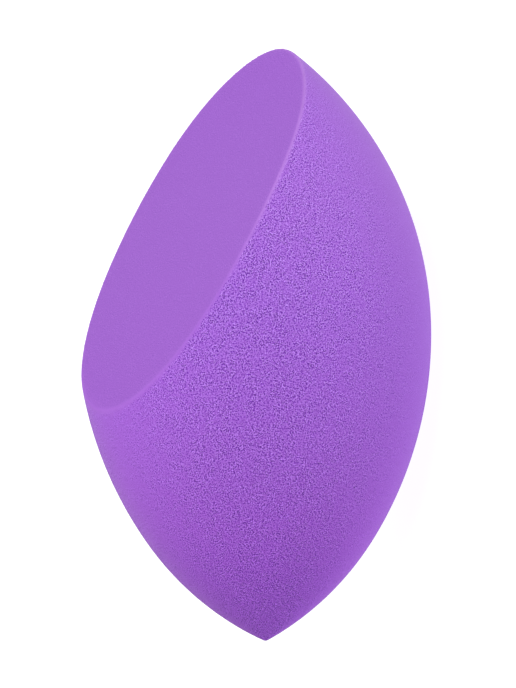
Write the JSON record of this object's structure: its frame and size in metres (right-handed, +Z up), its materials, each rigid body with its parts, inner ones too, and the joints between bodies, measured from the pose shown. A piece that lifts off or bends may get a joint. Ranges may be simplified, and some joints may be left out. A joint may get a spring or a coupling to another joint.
{
  "type": "makeup sponge",
  "caption": "Almond-shaped soft foam makeup sponge: a round body running to a pointed tip, with a large flat slanted face, for dabbing and blending cream or powder.",
  "frame": {"origin": "on the table, under the middle of the sponge's box as it lies on its side", "axes": "+X from the pointed tip towards the cut end, +Z up from the table; the flat face looks up and towards +X, and the XZ plane is the plane of symmetry"},
  "size_m": [0.0604, 0.036, 0.034],
  "materials": {
    "foam": "matte violet polyurethane foam with fine open pores; the flat face is the same foam, cut smooth"
  },
  "bodies": {
    "root": {"foam_body": "foam"}
  },
  "joints": []
}
